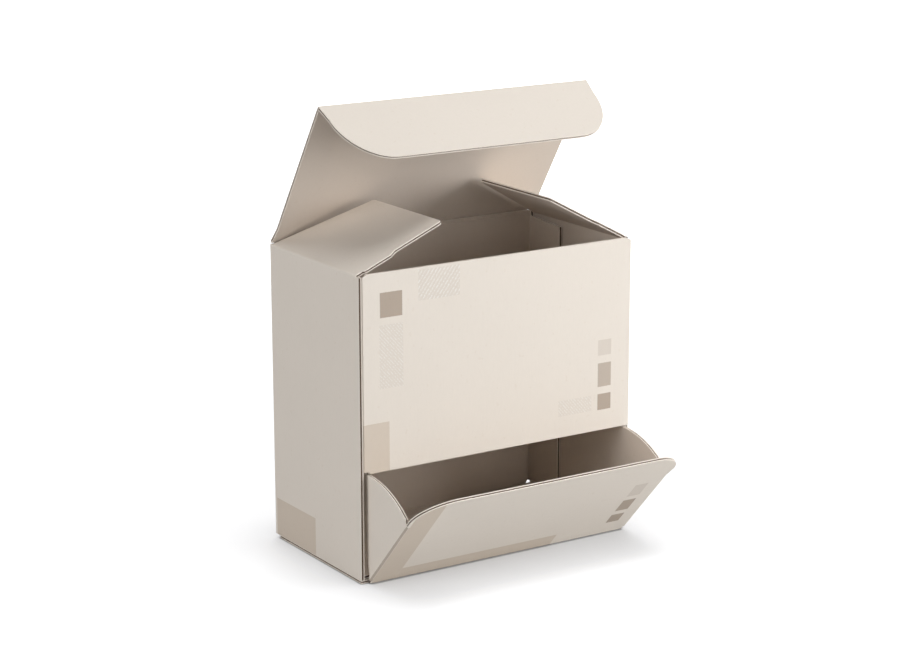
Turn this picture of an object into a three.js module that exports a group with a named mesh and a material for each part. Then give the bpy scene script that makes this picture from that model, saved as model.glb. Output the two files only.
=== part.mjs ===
// Tuck end carton with a tilt-out dispensing hopper, in micro-flute board.
// Millimetres, +Z up. The carton stands on its base panel, with the front at -Y.
// Inside this file x runs from the left wall to the right wall, y from front to back and z up,
// all from the front left corner. The last group centres the box on the origin.

import * as THREE from "three";
import { mergeVertices } from "three/addons/utils/BufferGeometryUtils.js";

// The box
const width = 140;
const depth = 76;
const height = 137;
const board = 1.5;
const foldRadius = 0.5;
const gap = 0.3;

// Wall seams
const frontGlueFlap = 16;
const backGlueFlap = 23.4;
const glueFlapTopDrop = 0.6;
const glueFlapSlope = 1.5;
const frontGlueFlapInset = 1;
const backGlueFlapFoot = 8;
const cornerRelief = 1.8;
const creaseRelief = 0.5;

// Dispensing opening and hopper
const openingHeight = 49;
const hopperTilt = 41.5;
const hopperLip = 61.5;
const hopperLeftGap = 2.9;
const lipCornerWidth = 22;
const lipCornerHeight = 13;
const gussetRadius = 47.3;
const gussetCrease = 46;
const gussetFoot = 3.5;
const gussetInside = 17;
const stopEarRadius = 53;

// Base closure
const baseSideInset = 0.9;
const baseTuck = 20;
const baseTuckInset = 6;
const baseTuckCorner = 8;
const floorFlap = 44;
const floorFlapFront = 6;
const floorFlapBack = 4;
const floorFlapTaper = 7;

// Lid, tuck and dust flaps
const lidAngle = 57;
const lidLength = 76.4;
const lidInset = 1.4;
const tuckFold = 90;
const tuckLength = 34.2;
const tuckCornerWidth = 21.5;
const tuckCornerHeight = 25.5;
const tuckShoulder = 1;
const flapLength = 46;
const leftFlapAngle = 27;
const rightFlapAngle = 28;
const flapFront = 2.4;
const flapBackInset = 1.6;
const flapBackSlant = 16;
const flapBackCorner = 8;
const flapFrontCorner = 4.5;
const flapStep = 1.4;
const flapStepAt = 17;

// Drawing of curves
const foldSteps = 6;
const cornerSteps = 10;

// Sizes that follow
const outerRadius = foldRadius + board;
const half = board / 2;
const lidAxis = { y: depth - half, z: height - half };
const backWallTop = lidAxis.z - half - gap;
const flapAxisHeight = height - board - gap - half;
const sideWallTop = flapAxisHeight - half - gap;
const frontWallTop = height - board - gap;
const glueFlapTop = sideWallTop - glueFlapTopDrop;
const wallFoot = board + gap;
const floorFold = wallFoot + outerRadius;
const seamOffset = board + gap;
const hopperAxis = { y: half, z: half };
const hopperLeft = board + hopperLeftGap;
const hopperRight = width - board - gap;
const lidReach = lidLength - half - gap;

const radians = THREE.MathUtils.degToRad;
const point = (x, y) => new THREE.Vector2(x, y);

// Points of an arc of an ellipse, from one angle to the other in degrees
function ellipse(cx, cy, rx, ry, from, to, steps = cornerSteps) {
  const points = [];
  for (let i = 0; i <= steps; i += 1) {
    const angle = radians(from + ((to - from) * i) / steps);
    points.push(point(cx + rx * Math.cos(angle), cy + ry * Math.sin(angle)));
  }
  return points;
}

// Frame of a flat panel: along and away lie in the panel, and the outer face looks along their product
function frame(origin, along, away) {
  const out = new THREE.Vector3().crossVectors(along, away);
  return new THREE.Matrix4().makeBasis(along, away, out).setPosition(origin);
}

// A folded sheet of board as one closed body.
// A panel has an outline in its own plane, anticlockwise seen from outside, with the outer face at z = 0.
// folds lists edges on which another panel turns towards the inside, beads lists edges that are rounded.
// A folded panel's outline starts with its own crease, from (0, 0) along x, and lies on the side y > 0.
function foldedBoard(root, rootFrame) {
  const positions = [];
  const at = (matrix, p, z) => new THREE.Vector3(p.x, p.y, z).applyMatrix4(matrix);
  const triangle = (...corners) => corners.forEach((corner) => positions.push(corner.x, corner.y, corner.z));
  const quad = (a, b, c, d) => {
    triangle(a, b, c);
    triangle(a, c, d);
  };

  function addFold(matrix, a, b, outward, fold) {
    const rows = [];
    for (let i = 0; i <= foldSteps; i += 1) {
      const turn = radians((fold.angle * i) / foldSteps);
      const row = [outerRadius, foldRadius].map((radius) => {
        const shift = outward.clone().multiplyScalar(radius * Math.sin(turn));
        const z = radius * Math.cos(turn) - outerRadius;
        return [at(matrix, a.clone().add(shift), z), at(matrix, b.clone().add(shift), z)];
      });
      rows.push(row);
    }
    for (let i = 0; i < foldSteps; i += 1) {
      const [[outerA, outerB], [innerA, innerB]] = rows[i];
      const [[nextOuterA, nextOuterB], [nextInnerA, nextInnerB]] = rows[i + 1];
      quad(outerB, outerA, nextOuterA, nextOuterB);
      quad(innerA, innerB, nextInnerB, nextInnerA);
      quad(outerA, innerA, nextInnerA, nextOuterA);
      quad(innerB, outerB, nextOuterB, nextInnerB);
    }
    const turn = radians(fold.angle);
    const end = b.clone().add(outward.clone().multiplyScalar(outerRadius * Math.sin(turn)));
    const z = outerRadius * Math.cos(turn) - outerRadius;
    const along = new THREE.Vector3(a.x - b.x, a.y - b.y, 0).normalize();
    const away = new THREE.Vector3(outward.x * Math.cos(turn), outward.y * Math.cos(turn), -Math.sin(turn));
    const local = frame(new THREE.Vector3(end.x, end.y, z), along, away);
    addPanel(fold.panel, matrix.clone().multiply(local), true);
  }

  function addBead(matrix, a, b, outward) {
    const rows = [];
    for (let i = 0; i <= foldSteps; i += 1) {
      const turn = (Math.PI * i) / foldSteps;
      const shift = outward.clone().multiplyScalar(half * Math.sin(turn));
      const z = half * Math.cos(turn) - half;
      rows.push([at(matrix, a.clone().add(shift), z), at(matrix, b.clone().add(shift), z)]);
    }
    for (let i = 0; i < foldSteps; i += 1) {
      quad(rows[i][1], rows[i][0], rows[i + 1][0], rows[i + 1][1]);
    }
    for (let i = 1; i < foldSteps; i += 1) {
      triangle(rows[0][0], rows[i + 1][0], rows[i][0]);
      triangle(rows[0][1], rows[i][1], rows[i + 1][1]);
    }
  }

  function addPanel(panel, matrix, isFolded) {
    const { outline, folds = [], beads = [] } = panel;
    THREE.ShapeUtils.triangulateShape(outline, []).forEach(([i, j, k]) => {
      triangle(at(matrix, outline[i], 0), at(matrix, outline[j], 0), at(matrix, outline[k], 0));
      triangle(at(matrix, outline[i], -board), at(matrix, outline[k], -board), at(matrix, outline[j], -board));
    });
    outline.forEach((a, index) => {
      const b = outline[(index + 1) % outline.length];
      const outward = point(b.y - a.y, a.x - b.x).normalize();
      const fold = folds.find((entry) => entry.edge === index);
      if (fold) {
        addFold(matrix, a, b, outward, fold);
      } else if (beads.includes(index)) {
        addBead(matrix, a, b, outward);
      } else if (!(isFolded && index === 0)) {
        quad(at(matrix, b, 0), at(matrix, a, 0), at(matrix, a, -board), at(matrix, b, -board));
      }
    });
  }

  addPanel(root, rootFrame, false);
  const geometry = new THREE.BufferGeometry();
  geometry.setAttribute("position", new THREE.Float32BufferAttribute(positions, 3));
  const merged = mergeVertices(geometry, 1e-4);
  merged.computeVertexNormals();
  return merged;
}

// Inner floor flap on a side wall's foot, folded in and closed under by the base panel
function floorFlapPanel(creaseLength) {
  const outline = [
    point(0, 0),
    point(creaseLength, 0),
    point(creaseLength - floorFlapTaper, floorFlap),
    point(floorFlapTaper, floorFlap),
  ];
  return { outline };
}

// Left wall, back wall, back glue flap and left floor flap, folded from one blank
function rearShell() {
  const seamCrease = seamOffset + outerRadius;
  const cornerFoot = wallFoot + gap;
  const wallBack = depth - outerRadius;
  const floorFlapEnd = wallBack - floorFlapBack;

  const leftWallPoint = (y, z) => point(sideWallTop - z, wallBack - y);
  const leftWall = {
    outline: [
      leftWallPoint(wallBack, sideWallTop),
      leftWallPoint(wallBack, cornerFoot),
      leftWallPoint(floorFlapEnd + creaseRelief, wallFoot),
      leftWallPoint(floorFlapEnd, floorFold),
      leftWallPoint(floorFlapFront, floorFold),
      leftWallPoint(floorFlapFront - creaseRelief, wallFoot),
      leftWallPoint(0, wallFoot),
      leftWallPoint(0, sideWallTop),
    ],
    folds: [{ edge: 3, angle: 90, panel: floorFlapPanel(floorFlapEnd - floorFlapFront) }],
  };

  const glueFlapHeight = glueFlapTop - backGlueFlapFoot;
  const glueFlap = {
    outline: [
      point(0, 0),
      point(glueFlapHeight, 0),
      point(glueFlapHeight - glueFlapSlope, backGlueFlap),
      point(glueFlapSlope, backGlueFlap),
    ],
  };

  const leftCrease = width - outerRadius;
  const backWall = {
    outline: [
      point(seamCrease + cornerRelief, gap),
      point(leftCrease - cornerRelief, gap),
      point(leftCrease, cornerFoot),
      point(leftCrease, sideWallTop),
      point(leftCrease - cornerRelief, backWallTop),
      point(seamCrease + cornerRelief, backWallTop),
      point(seamCrease, glueFlapTop),
      point(seamCrease, backGlueFlapFoot),
    ],
    folds: [
      { edge: 2, angle: 90, panel: leftWall },
      { edge: 6, angle: 90, panel: glueFlap },
    ],
  };
  const outside = frame(
    new THREE.Vector3(width, depth, 0),
    new THREE.Vector3(-1, 0, 0),
    new THREE.Vector3(0, 0, 1),
  );
  return foldedBoard(backWall, outside);
}

// Upper front, right wall, front glue flap and right floor flap, folded from one blank
function frontShell() {
  const seamCrease = seamOffset + outerRadius;
  const rightCrease = width - outerRadius;
  const frontEdge = outerRadius - half;
  const floorFlapEnd = depth - outerRadius - floorFlapBack;

  const rightWallPoint = (y, z) => point(sideWallTop - z, y - outerRadius);
  const rightWall = {
    outline: [
      rightWallPoint(outerRadius, sideWallTop),
      rightWallPoint(outerRadius, openingHeight),
      rightWallPoint(frontEdge, wallFoot),
      rightWallPoint(floorFlapFront - creaseRelief, wallFoot),
      rightWallPoint(floorFlapFront, floorFold),
      rightWallPoint(floorFlapEnd, floorFold),
      rightWallPoint(floorFlapEnd + creaseRelief, wallFoot),
      rightWallPoint(depth, wallFoot),
      rightWallPoint(depth, sideWallTop),
    ],
    folds: [{ edge: 4, angle: 90, panel: floorFlapPanel(floorFlapEnd - floorFlapFront) }],
  };

  const glueFlapFoot = openingHeight + frontGlueFlapInset;
  const glueFlapHeight = glueFlapTop - glueFlapFoot;
  const glueFlap = {
    outline: [
      point(0, 0),
      point(glueFlapHeight, 0),
      point(glueFlapHeight - glueFlapSlope, frontGlueFlap),
      point(glueFlapSlope, frontGlueFlap),
    ],
  };

  const front = {
    outline: [
      point(seamCrease + frontGlueFlapInset, openingHeight),
      point(rightCrease, openingHeight),
      point(rightCrease, sideWallTop),
      point(rightCrease - cornerRelief, frontWallTop),
      point(seamCrease + gap, frontWallTop),
      point(seamCrease, glueFlapTop),
      point(seamCrease, glueFlapFoot),
    ],
    folds: [
      { edge: 1, angle: 90, panel: rightWall },
      { edge: 5, angle: 90, panel: glueFlap },
    ],
  };
  const outside = frame(new THREE.Vector3(), new THREE.Vector3(1, 0, 0), new THREE.Vector3(0, 0, 1));
  return foldedBoard(front, outside);
}

// Base panel with its tuck pushed up inside the back wall
function basePanel() {
  const tuckFace = depth - board - gap;
  const creaseAt = depth - (tuckFace - outerRadius);
  const frontEdge = depth - (hopperAxis.y + half + gap);
  const tuckStart = baseTuckInset;
  const tuckEnd = width - baseTuckInset;
  const tuckWidth = tuckEnd - tuckStart;
  const tuckPanel = {
    outline: [
      point(0, 0),
      point(tuckWidth, 0),
      ...ellipse(tuckWidth - baseTuckCorner, baseTuck - baseTuckCorner, baseTuckCorner, baseTuckCorner, 0, 90),
      ...ellipse(baseTuckCorner, baseTuck - baseTuckCorner, baseTuckCorner, baseTuckCorner, 90, 180),
    ],
  };
  const base = {
    outline: [
      point(tuckStart, creaseAt),
      point(tuckEnd, creaseAt),
      point(width - baseSideInset, creaseAt + baseTuckInset),
      point(width - baseSideInset, frontEdge),
      point(baseSideInset, frontEdge),
      point(baseSideInset, creaseAt + baseTuckInset),
    ],
    folds: [{ edge: 0, angle: 90, panel: tuckPanel }],
  };
  const underside = frame(
    new THREE.Vector3(0, depth, 0),
    new THREE.Vector3(1, 0, 0),
    new THREE.Vector3(0, -1, 0),
  );
  return foldedBoard(base, underside);
}

// Side gusset as points (distance up the crease, distance in from it), from the crease's foot round to its top
function gussetPoints() {
  const axisBehindFold = outerRadius - half;
  const onArc = (radius, angle) => {
    const turn = radians(angle);
    return point(radius * Math.cos(turn), radius * Math.sin(turn) - axisBehindFold);
  };
  const backAngle = hopperTilt + gussetInside;
  const earClearance = board + gap - hopperAxis.y;
  const earFoot = hopperTilt + THREE.MathUtils.radToDeg(Math.asin(earClearance / gussetRadius));
  const earTip = hopperTilt + THREE.MathUtils.radToDeg(Math.asin(earClearance / stopEarRadius));
  const arcStart = THREE.MathUtils.radToDeg(Math.asin(axisBehindFold / gussetRadius)) * 2;
  const points = [point(gussetFoot, 0), onArc(gussetFoot * 2, backAngle)];
  for (let i = 0; i <= 4; i += 1) {
    points.push(onArc(stopEarRadius, backAngle + ((earTip - backAngle) * i) / 4));
  }
  for (let i = 0; i <= cornerSteps; i += 1) {
    points.push(onArc(gussetRadius, earFoot + ((arcStart - earFoot) * i) / cornerSteps));
  }
  points.push(point(gussetCrease, 0));
  return points;
}

// Hopper: lower front panel with its lip, and a gusset folded in at each side
function hopperBoard() {
  const leftCrease = hopperLeft + outerRadius;
  const rightCrease = hopperRight - outerRadius;
  const points = gussetPoints();
  const last = points.length - 1;
  const leftGusset = { outline: [points[0], ...points.slice(1).reverse()].map((p) => point(p.x - gussetFoot, p.y)) };
  const rightGusset = {
    outline: [points[last], ...points.slice(0, last)].map((p) => point(gussetCrease - p.x, p.y)),
  };
  const shoulder = hopperLip - lipCornerHeight;
  const panel = {
    outline: [
      point(hopperLeft + half, 0),
      point(hopperRight - half, 0),
      point(rightCrease, gussetFoot),
      point(rightCrease, gussetCrease),
      ...ellipse(hopperRight - lipCornerWidth, shoulder, lipCornerWidth, lipCornerHeight, 0, 90),
      ...ellipse(hopperLeft + lipCornerWidth, shoulder, lipCornerWidth, lipCornerHeight, 90, 180),
      point(leftCrease, gussetCrease),
      point(leftCrease, gussetFoot),
    ],
    beads: [0],
  };
  const leftEdge = panel.outline.length - 2;
  panel.folds = [
    { edge: 2, angle: 90, panel: rightGusset },
    { edge: leftEdge, angle: 90, panel: leftGusset },
  ];
  const outside = frame(new THREE.Vector3(0, -half, 0), new THREE.Vector3(1, 0, 0), new THREE.Vector3(0, 0, 1));
  return foldedBoard(panel, outside);
}

// Lid panel, drawn closed, with its root rounded about the crease
function lidBoard() {
  const span = width - 2 * lidInset;
  const panel = {
    outline: [point(0, 0), point(span, 0), point(span, lidReach), point(0, lidReach)],
    beads: [0],
  };
  const top = frame(
    new THREE.Vector3(width - lidInset, 0, half),
    new THREE.Vector3(-1, 0, 0),
    new THREE.Vector3(0, -1, 0),
  );
  return foldedBoard(panel, top);
}

// Tuck on the lid's free edge, drawn level with the lid
function tuckBoard() {
  const span = width - 2 * lidInset;
  const middle = tuckLength - tuckCornerHeight;
  const panel = {
    outline: [
      point(0, 0),
      point(span, 0),
      ...ellipse(span - tuckShoulder - tuckCornerWidth, middle, tuckCornerWidth, tuckCornerHeight, 0, 90),
      ...ellipse(tuckShoulder + tuckCornerWidth, middle, tuckCornerWidth, tuckCornerHeight, 90, 180),
    ],
    beads: [0],
  };
  const top = frame(
    new THREE.Vector3(width - lidInset, 0, half),
    new THREE.Vector3(-1, 0, 0),
    new THREE.Vector3(0, -1, 0),
  );
  return foldedBoard(panel, top);
}

// Dust flap on a side wall's top, drawn closed. side is 1 for the left flap and -1 for the right one
function dustFlapBoard(side) {
  const frontRoot = flapFront + flapStep;
  const backRoot = depth - flapBackInset;
  const slope = flapBackSlant / flapLength;
  const backCorner = backRoot - flapBackSlant + (slope - 1) * flapBackCorner;
  const points = [
    point(backRoot, 0),
    point(frontRoot, 0),
    point(frontRoot, flapStepAt),
    point(flapFront, flapStepAt + flapStep),
    ...ellipse(flapFront + flapFrontCorner, flapLength - flapFrontCorner, flapFrontCorner, flapFrontCorner, 180, 90),
    ...ellipse(backCorner, flapLength - flapBackCorner, flapBackCorner, flapBackCorner, 90, 15),
  ];
  const [back, front, ...round] = points;
  const outline = side > 0 ? [back, front, ...round] : [front, back, ...round.reverse()];
  const start = outline[0].x;
  const local = outline.map((p) => point(side * (start - p.x), p.y));
  const origin = new THREE.Vector3(0, start, half);
  const along = new THREE.Vector3(0, -side, 0);
  const away = new THREE.Vector3(side, 0, 0);
  return foldedBoard({ outline: local, beads: [0] }, frame(origin, along, away));
}

// Pieces
const cream = { color: 0xe6ddd2, roughness: 0.85, metalness: 0 };
const shade = { color: 0xc4bab0, roughness: 0.85, metalness: 0 };

function piece(name, geometry, look) {
  const mesh = new THREE.Mesh(geometry, new THREE.MeshStandardMaterial(look));
  mesh.name = name;
  return mesh;
}

const carton = new THREE.Group();
carton.position.set(-width / 2, -depth / 2, 0);
carton.add(piece("rear_shell", rearShell(), shade));
carton.add(piece("front_shell", frontShell(), cream));
carton.add(piece("base_panel", basePanel(), shade));

const hopper = piece("hopper", hopperBoard(), cream);
hopper.position.set(0, hopperAxis.y, hopperAxis.z);
hopper.rotation.x = radians(hopperTilt);
carton.add(hopper);

const lidGroup = new THREE.Group();
lidGroup.position.set(0, lidAxis.y, lidAxis.z);
lidGroup.rotation.x = -radians(lidAngle);
lidGroup.add(piece("lid", lidBoard(), cream));
const tuck = piece("lid_tuck", tuckBoard(), cream);
tuck.position.set(0, -lidLength, 0);
tuck.rotation.x = radians(tuckFold);
lidGroup.add(tuck);
carton.add(lidGroup);

const leftFlap = piece("left_dust_flap", dustFlapBoard(1), shade);
leftFlap.position.set(half, 0, flapAxisHeight);
leftFlap.rotation.y = -radians(leftFlapAngle);
carton.add(leftFlap);

const rightFlap = piece("right_dust_flap", dustFlapBoard(-1), shade);
rightFlap.position.set(width - half, 0, flapAxisHeight);
rightFlap.rotation.y = radians(rightFlapAngle);
carton.add(rightFlap);

export default carton;
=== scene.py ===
"""Tuck end carton with a tilt-out dispensing hopper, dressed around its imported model.

Lengths in the settings and outlines are millimetres, in the carton's own corner frame:
x from the left wall to the right wall, y from front to back, z up. The meshes are in metres,
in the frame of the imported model, whose origin is the middle of the carton's footprint.
"""

import itertools
import math

import bpy
from bpy.props import FloatProperty, FloatVectorProperty, IntProperty, PointerProperty
from mathutils import Matrix, Vector


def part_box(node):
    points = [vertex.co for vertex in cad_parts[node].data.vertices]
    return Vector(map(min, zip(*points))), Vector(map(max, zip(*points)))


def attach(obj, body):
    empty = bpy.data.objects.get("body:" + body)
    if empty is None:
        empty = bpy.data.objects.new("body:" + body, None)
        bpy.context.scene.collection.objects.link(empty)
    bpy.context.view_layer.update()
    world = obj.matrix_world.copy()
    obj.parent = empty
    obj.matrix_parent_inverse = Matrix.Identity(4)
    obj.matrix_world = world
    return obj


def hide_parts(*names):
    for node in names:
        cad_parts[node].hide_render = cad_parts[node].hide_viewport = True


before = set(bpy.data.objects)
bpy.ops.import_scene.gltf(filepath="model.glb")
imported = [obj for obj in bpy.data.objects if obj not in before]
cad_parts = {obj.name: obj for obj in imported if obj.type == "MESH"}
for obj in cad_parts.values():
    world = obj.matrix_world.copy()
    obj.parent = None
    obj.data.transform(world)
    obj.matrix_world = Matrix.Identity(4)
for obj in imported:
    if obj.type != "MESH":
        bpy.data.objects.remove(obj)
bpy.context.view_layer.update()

bl_info = {
    "name": "Tuck end carton with tilt-out hopper",
    "version": (1, 0, 0),
    "blender": (4, 5, 0),
    "location": "3D View > Sidebar > Carton",
    "description": "Builds a micro-flute board carton with a lid, dust flaps and a dispensing hopper",
    "category": "Add Mesh",
}

MM = 0.001

# The carton's outer sizes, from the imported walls
CARTON_WIDTH = 2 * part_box("rear_shell")[0].x / -MM
CARTON_DEPTH = 2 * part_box("rear_shell")[1].y / MM


# Settings

def setting(name, description, default):
    """Property for one number."""
    return FloatProperty(name=name, description=description, default=default)


def colour(name, description, default):
    """Property for one linear colour."""
    return FloatVectorProperty(name=name, description=description, subtype="COLOR", size=3, default=default)


class CartonSettings(bpy.types.PropertyGroup):
    """Sizes of the board and of the carton's body, in millimetres."""

    width: setting("Width", "Outer width of the front", CARTON_WIDTH)
    depth: setting("Depth", "Outer depth, front to back", CARTON_DEPTH)
    height: setting("Height", "Closed height, floor to lid", 137.0)
    board: setting("Board", "Thickness of the board", 1.5)
    liner: setting("Liner", "Thickness of each paper liner at a cut edge", 0.43)
    thin_liner: setting("Thin liner", "Outer liner at the rear shell's cuts", 0.15)
    recess: setting("Core recess", "How far the core lies behind a cut edge", 0.4)
    edge: setting("Edge softness", "Chamfer on a cut edge's corners", 0.08)
    fold_radius: setting("Fold radius", "Inner radius of a fixed fold", 0.5)
    fold_sharpness: setting("Fold sharpness", "Outer radius of a fixed fold", 0.4)
    gap: setting("Gap", "Clearance between neighbouring boards", 0.3)
    hinge_gap: setting("Crease gap", "Clearance at a crease that turns", 0.1)
    bead_radius: setting("Bead radius", "Radius of a score bead", 0.3)
    fold_steps: IntProperty(name="Fold steps", description="Facets round a quarter fold", default=14)
    opening: setting("Opening", "Height of the dispensing opening", 49.0)
    front_seam: setting("Front seam", "Width of the front glue flap", 16.0)
    back_seam: setting("Back seam", "Width of the back glue flap", 23.4)


class HopperSettings(bpy.types.PropertyGroup):
    """Sizes of the tilt-out hopper, in millimetres and degrees."""

    tilt: setting("Tilt", "Lean from upright at rest, in degrees", 43.0)
    lip: setting("Lip", "Height of the panel to its lip", 61.5)
    left_gap: setting("Left gap", "Space between left wall and gusset", 2.1)
    corner_width: setting("Left corner width", "Width of the lip's left corner", 20.0)
    corner_height: setting("Left corner height", "Height of the lip's left corner", 12.8)
    right_width: setting("Right corner width", "Width of the lip's right corner", 14.5)
    right_height: setting("Right corner height", "Height of the lip's right corner", 10.0)
    lip_side: setting("Lip overhang", "Lip beyond the right gusset", 1.3)
    radius: setting("Gusset radius", "Radius of a gusset's arc", 47.8)
    crease: setting("Gusset crease", "Top of the crease to the gusset", 46.6)
    foot: setting("Gusset foot", "Foot of the crease to the gusset", 1.6)
    inside: setting("Gusset inside", "Degrees of gusset behind the front", 17.0)
    ear: setting("Stop ear radius", "Radius of the stop behind the front", 53.0)


class LidSettings(bpy.types.PropertyGroup):
    """Sizes of the lid, its tuck and the dust flaps, in millimetres and degrees."""

    angle: setting("Lid angle", "Opening of the lid at rest, in degrees", 57.0)
    length: setting("Lid length", "Lid, crease to crease", 76.4)
    inset: setting("Lid inset", "Lid's edge inside the side walls", 1.4)
    root_width: setting("Root width", "Extra width at the lid's crease", 1.0)
    root_height: setting("Root height", "Height of that wider part", 7.0)
    tuck: setting("Tuck length", "Length of the tuck", 34.2)
    tuck_width: setting("Tuck corner width", "Width of a tuck corner", 21.5)
    tuck_height: setting("Tuck corner height", "Height of a tuck corner", 25.5)
    shoulder: setting("Tuck shoulder", "Step in at the tuck's root", 1.0)
    flap: setting("Flap length", "Length of a dust flap", 46.0)
    left_angle: setting("Left flap angle", "Rise of the left flap", 23.0)
    right_angle: setting("Right flap angle", "Rise of the right flap", 28.0)
    flap_front: setting("Flap front", "Root's front edge behind the front's face", 1.7)
    flap_notch: setting("Flap notch", "Step in at the flap's front root", 0.9)
    notch_length: setting("Notch length", "Length of that step", 3.0)
    flap_back: setting("Flap back", "Back root inside the back's face", 1.6)
    slant: setting("Flap slant", "How far the back edge slants in", 16.0)
    back_corner: setting("Back corner", "Radius of a flap's back corner", 2.0)
    front_corner: setting("Front corner", "Radius of a flap's front corner", 1.6)
    step: setting("Flap step", "Step back of a flap's front edge", 1.8)
    step_at: setting("Step place", "Distance of the step from the crease", 17.5)


class BoardLooks(bpy.types.PropertyGroup):
    """Linear colours of the board and its print, with the inner liner and the cut-edge fluting darkened in
    part as painted shade.
    """

    outer: colour("Outer liner", "Bare outer paper", (0.84, 0.775, 0.697))
    # The inner paper, set darker and browner than the outer liner as painted shade of the carton's interior
    inner: colour("Inner liner", "Bare inner paper", (0.68, 0.60, 0.525))
    cut: colour("Cut liner", "Paper at a cut edge", (0.92, 0.85, 0.77))
    # Darker than the fluting paper's own brown: the paper's colour plus painted shade of the hollow flutes
    # at a cut edge
    core: colour("Core", "Recessed core at a cut edge", (0.13, 0.085, 0.06))
    light_ink: colour("Light ink", "Dashes in the textured patches", (0.92, 0.89, 0.84))
    tan_ink: colour("Tan ink", "Large tan fields", (0.71, 0.62, 0.525))
    ink: colour("Ink", "Small squares", (0.47, 0.39, 0.32))


class StageSettings(bpy.types.PropertyGroup):
    """Camera and light."""

    azimuth: setting("Azimuth", "Camera's angle round the carton", -32.6)
    elevation: setting("Elevation", "Camera's angle above the floor", 14.4)
    distance: setting("Distance", "Camera's distance, in metres", 1.0807)
    lens: setting("Lens", "Focal length, in millimetres", 97.1)
    roll: setting("Roll", "Camera's turn about its own axis", -0.12)
    aim: FloatVectorProperty(name="Aim", description="Point in the middle of the view", size=3,
                             default=(0.00104, 0.00302, 0.09101))
    key: setting("Key light", "Power of the low light at front right", 11.9)
    front: setting("Front light", "Power of the low light in front", 8.0)
    side: setting("Side light", "Power of the light on the left", 16.0)
    back: setting("Back light", "Power of the light behind", 12.0)
    top: setting("Top light", "Power of the light overhead", 16.5)


def add_object(name, data):
    """New object in the scene, at the origin."""
    obj = bpy.data.objects.new(name, data)
    bpy.context.scene.collection.objects.link(obj)
    return obj


# Outlines and folded board

def point(x, y):
    return Vector((x, y))


def ellipse(cx, cy, rx, ry, start, end, steps=24):
    """Points of an arc of an ellipse, from one angle to the other in degrees."""
    angles = [math.radians(start + (end - start) * i / steps) for i in range(steps + 1)]
    return [point(cx + rx * math.cos(a), cy + ry * math.sin(a)) for a in angles]


def panel(outline, folds=(), beads=(), print_look="outer"):
    """A flat panel. Its outline runs anticlockwise seen from outside, in its own plane.

    folds holds (edge, panel, first trim, last trim), where the next panel turns a quarter
    towards the inside and its own outline starts with that crease along x. The trims shorten
    the fold's far side at the edge's start and end. beads holds rounded, turning edges.
    """
    corners = [Vector(corner) for corner in outline]
    creases = {edge: (next_panel, trims) for edge, next_panel, *trims in folds}
    return {"outline": corners, "folds": creases, "beads": set(beads), "look": print_look}


def panel_frame(origin, along, away):
    """Matrix of a panel's plane, whose third axis looks out of the outer face."""
    origin, along, away = Vector(origin), Vector(along), Vector(away)
    out = along.cross(away)
    return Matrix((
        (along.x, away.x, out.x, origin.x),
        (along.y, away.y, out.y, origin.y),
        (along.z, away.z, out.z, origin.z),
        (0, 0, 0, 1),
    ))


# Places this near share a vertex: a cell's size in metres and the part of it that rounding may cross
VERTEX_CELL = 4e-6
CELL_MARGIN = 0.2


def near_vertex(index, place):
    """Number of the vertex kept for a place, the same one for places a rounding error apart."""
    scaled = [value / VERTEX_CELL for value in place]
    low = [math.floor(value - CELL_MARGIN) for value in scaled]
    high = [math.floor(value + CELL_MARGIN) for value in scaled]
    keys = itertools.product(*({a, b} for a, b in zip(low, high)))
    for key in keys:
        if key in index:
            return index[key]
    number = index.setdefault("count", 0)
    index["count"] = number + 1
    index[tuple(math.floor(value) for value in scaled)] = number
    return number


# Shortest cross product, in square millimetres, that still gives a face its direction
SMALLEST_NORMAL = 1e-12
# Least divisor at an outline's sharp corner, so that its chamfer stays short
CHAMFER_LIMIT = 0.4


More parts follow.
